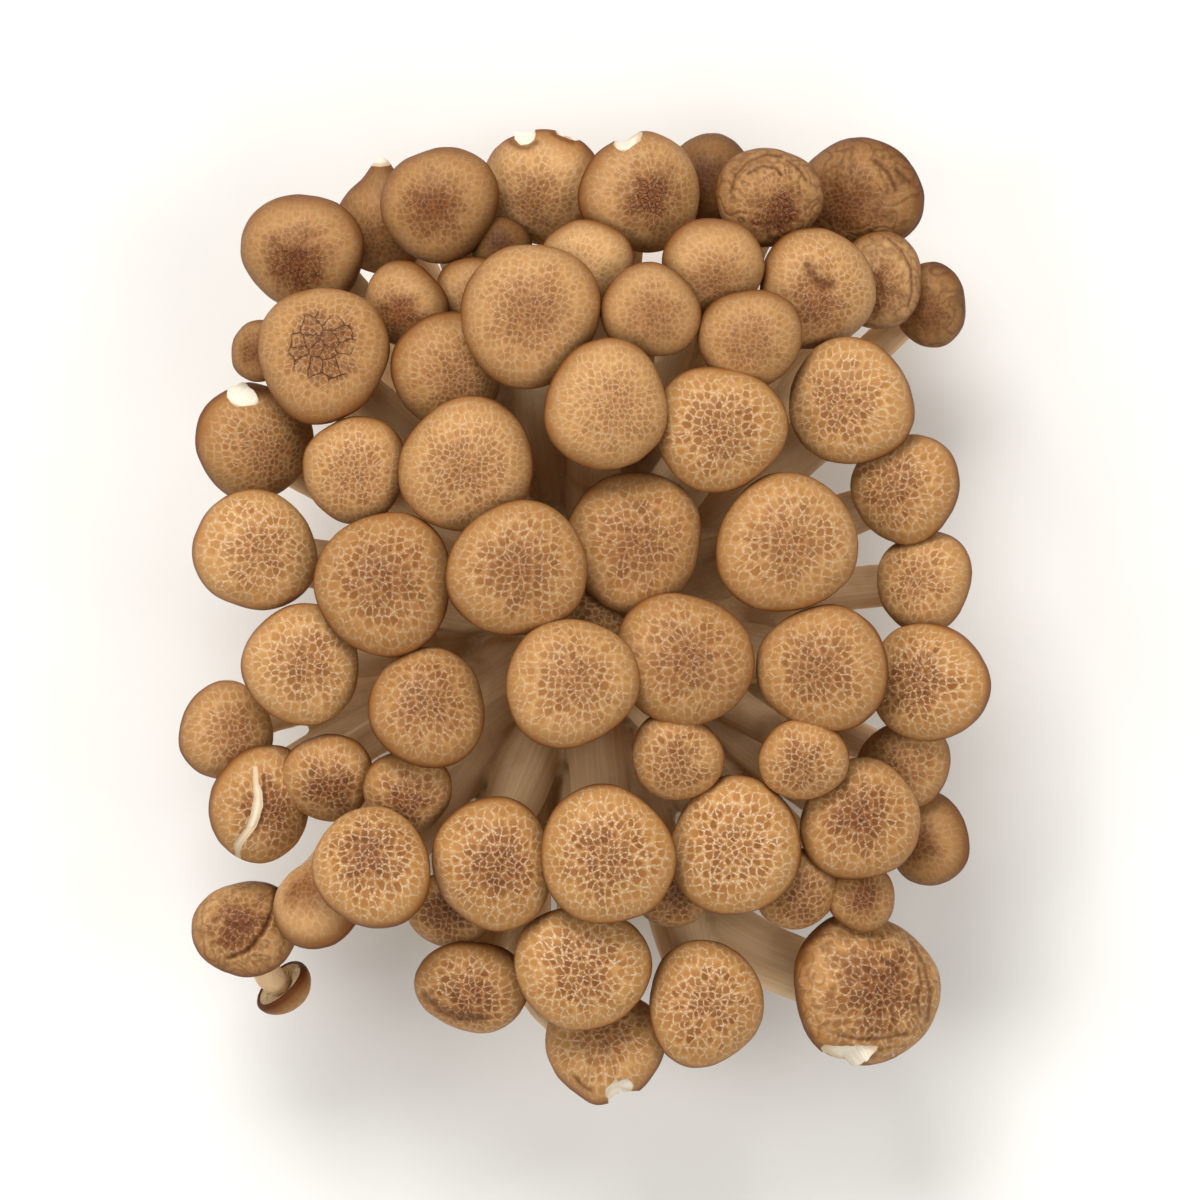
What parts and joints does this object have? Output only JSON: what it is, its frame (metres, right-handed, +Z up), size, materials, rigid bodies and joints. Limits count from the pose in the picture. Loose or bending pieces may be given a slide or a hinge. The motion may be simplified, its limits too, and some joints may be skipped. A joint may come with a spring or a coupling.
{
  "type": "beech mushroom cluster",
  "caption": "Bunch of brown beech mushrooms with netted round caps on pale stems that grow from one cut base; stands on the base.",
  "frame": {"origin": "on the resting surface, under the middle of the cluster's bounding box; the flat cut face of the base lies on it", "axes": "+Z up along the middle stems, +Y along the crown's longer way, +X along its shorter way"},
  "size_m": [0.1212, 0.1456, 0.0667],
  "materials": {
    "cap_skin": "matt tan skin with a pale raised net and a darker middle",
    "stem_flesh": "matt cream flesh with faint lengthwise fibres"
  },
  "bodies": {
    "root": {"cap_m01": "cap_skin", "cap_m02": "cap_skin", "cap_m03": "cap_skin", "cap_m04": "cap_skin", "cap_m05": "cap_skin", "cap_m06": "cap_skin", "cap_m07_m14": "cap_skin", "cap_m08_n17": "cap_skin", "cap_m09": "cap_skin", "cap_m10": "cap_skin", "cap_m11_s12": "cap_skin", "cap_m12_s14": "cap_skin", "cap_m13": "cap_skin", "cap_n01": "cap_skin", "cap_n02": "cap_skin", "cap_n03_n26": "cap_skin", "cap_n04": "cap_skin", "cap_n05": "cap_skin", "cap_n06": "cap_skin", "cap_n07": "cap_skin", "cap_n08": "cap_skin", "cap_n09": "cap_skin", "cap_n10": "cap_skin", "cap_n11": "cap_skin", "cap_n12": "cap_skin", "cap_n13": "cap_skin", "cap_n14": "cap_skin", "cap_n15": "cap_skin", "cap_n16": "cap_skin", "cap_n18": "cap_skin", "cap_n19_n20": "cap_skin", "cap_n21": "cap_skin", "cap_n22": "cap_skin", "cap_n23": "cap_skin", "cap_n24": "cap_skin", "cap_n25": "cap_skin", "cap_s01": "cap_skin", "cap_s02": "cap_skin", "cap_s03": "cap_skin", "cap_s04": "cap_skin", "cap_s05": "cap_skin", "cap_s06_s07": "cap_skin", "cap_s08": "cap_skin", "cap_s09": "cap_skin", "cap_s10": "cap_skin", "cap_s11": "cap_skin", "cap_s13": "cap_skin", "cap_s15": "cap_skin", "cap_s16": "cap_skin", "cap_s17_s18": "cap_skin", "cap_s19": "cap_skin", "cap_s20": "cap_skin", "cap_s21": "cap_skin", "cap_s22": "cap_skin", "cap_s23": "cap_skin", "cap_s24": "cap_skin", "cap_s25": "cap_skin", "cap_s26": "cap_skin", "cap_s27": "cap_skin", "stems_and_base": "stem_flesh"}
  },
  "joints": []
}
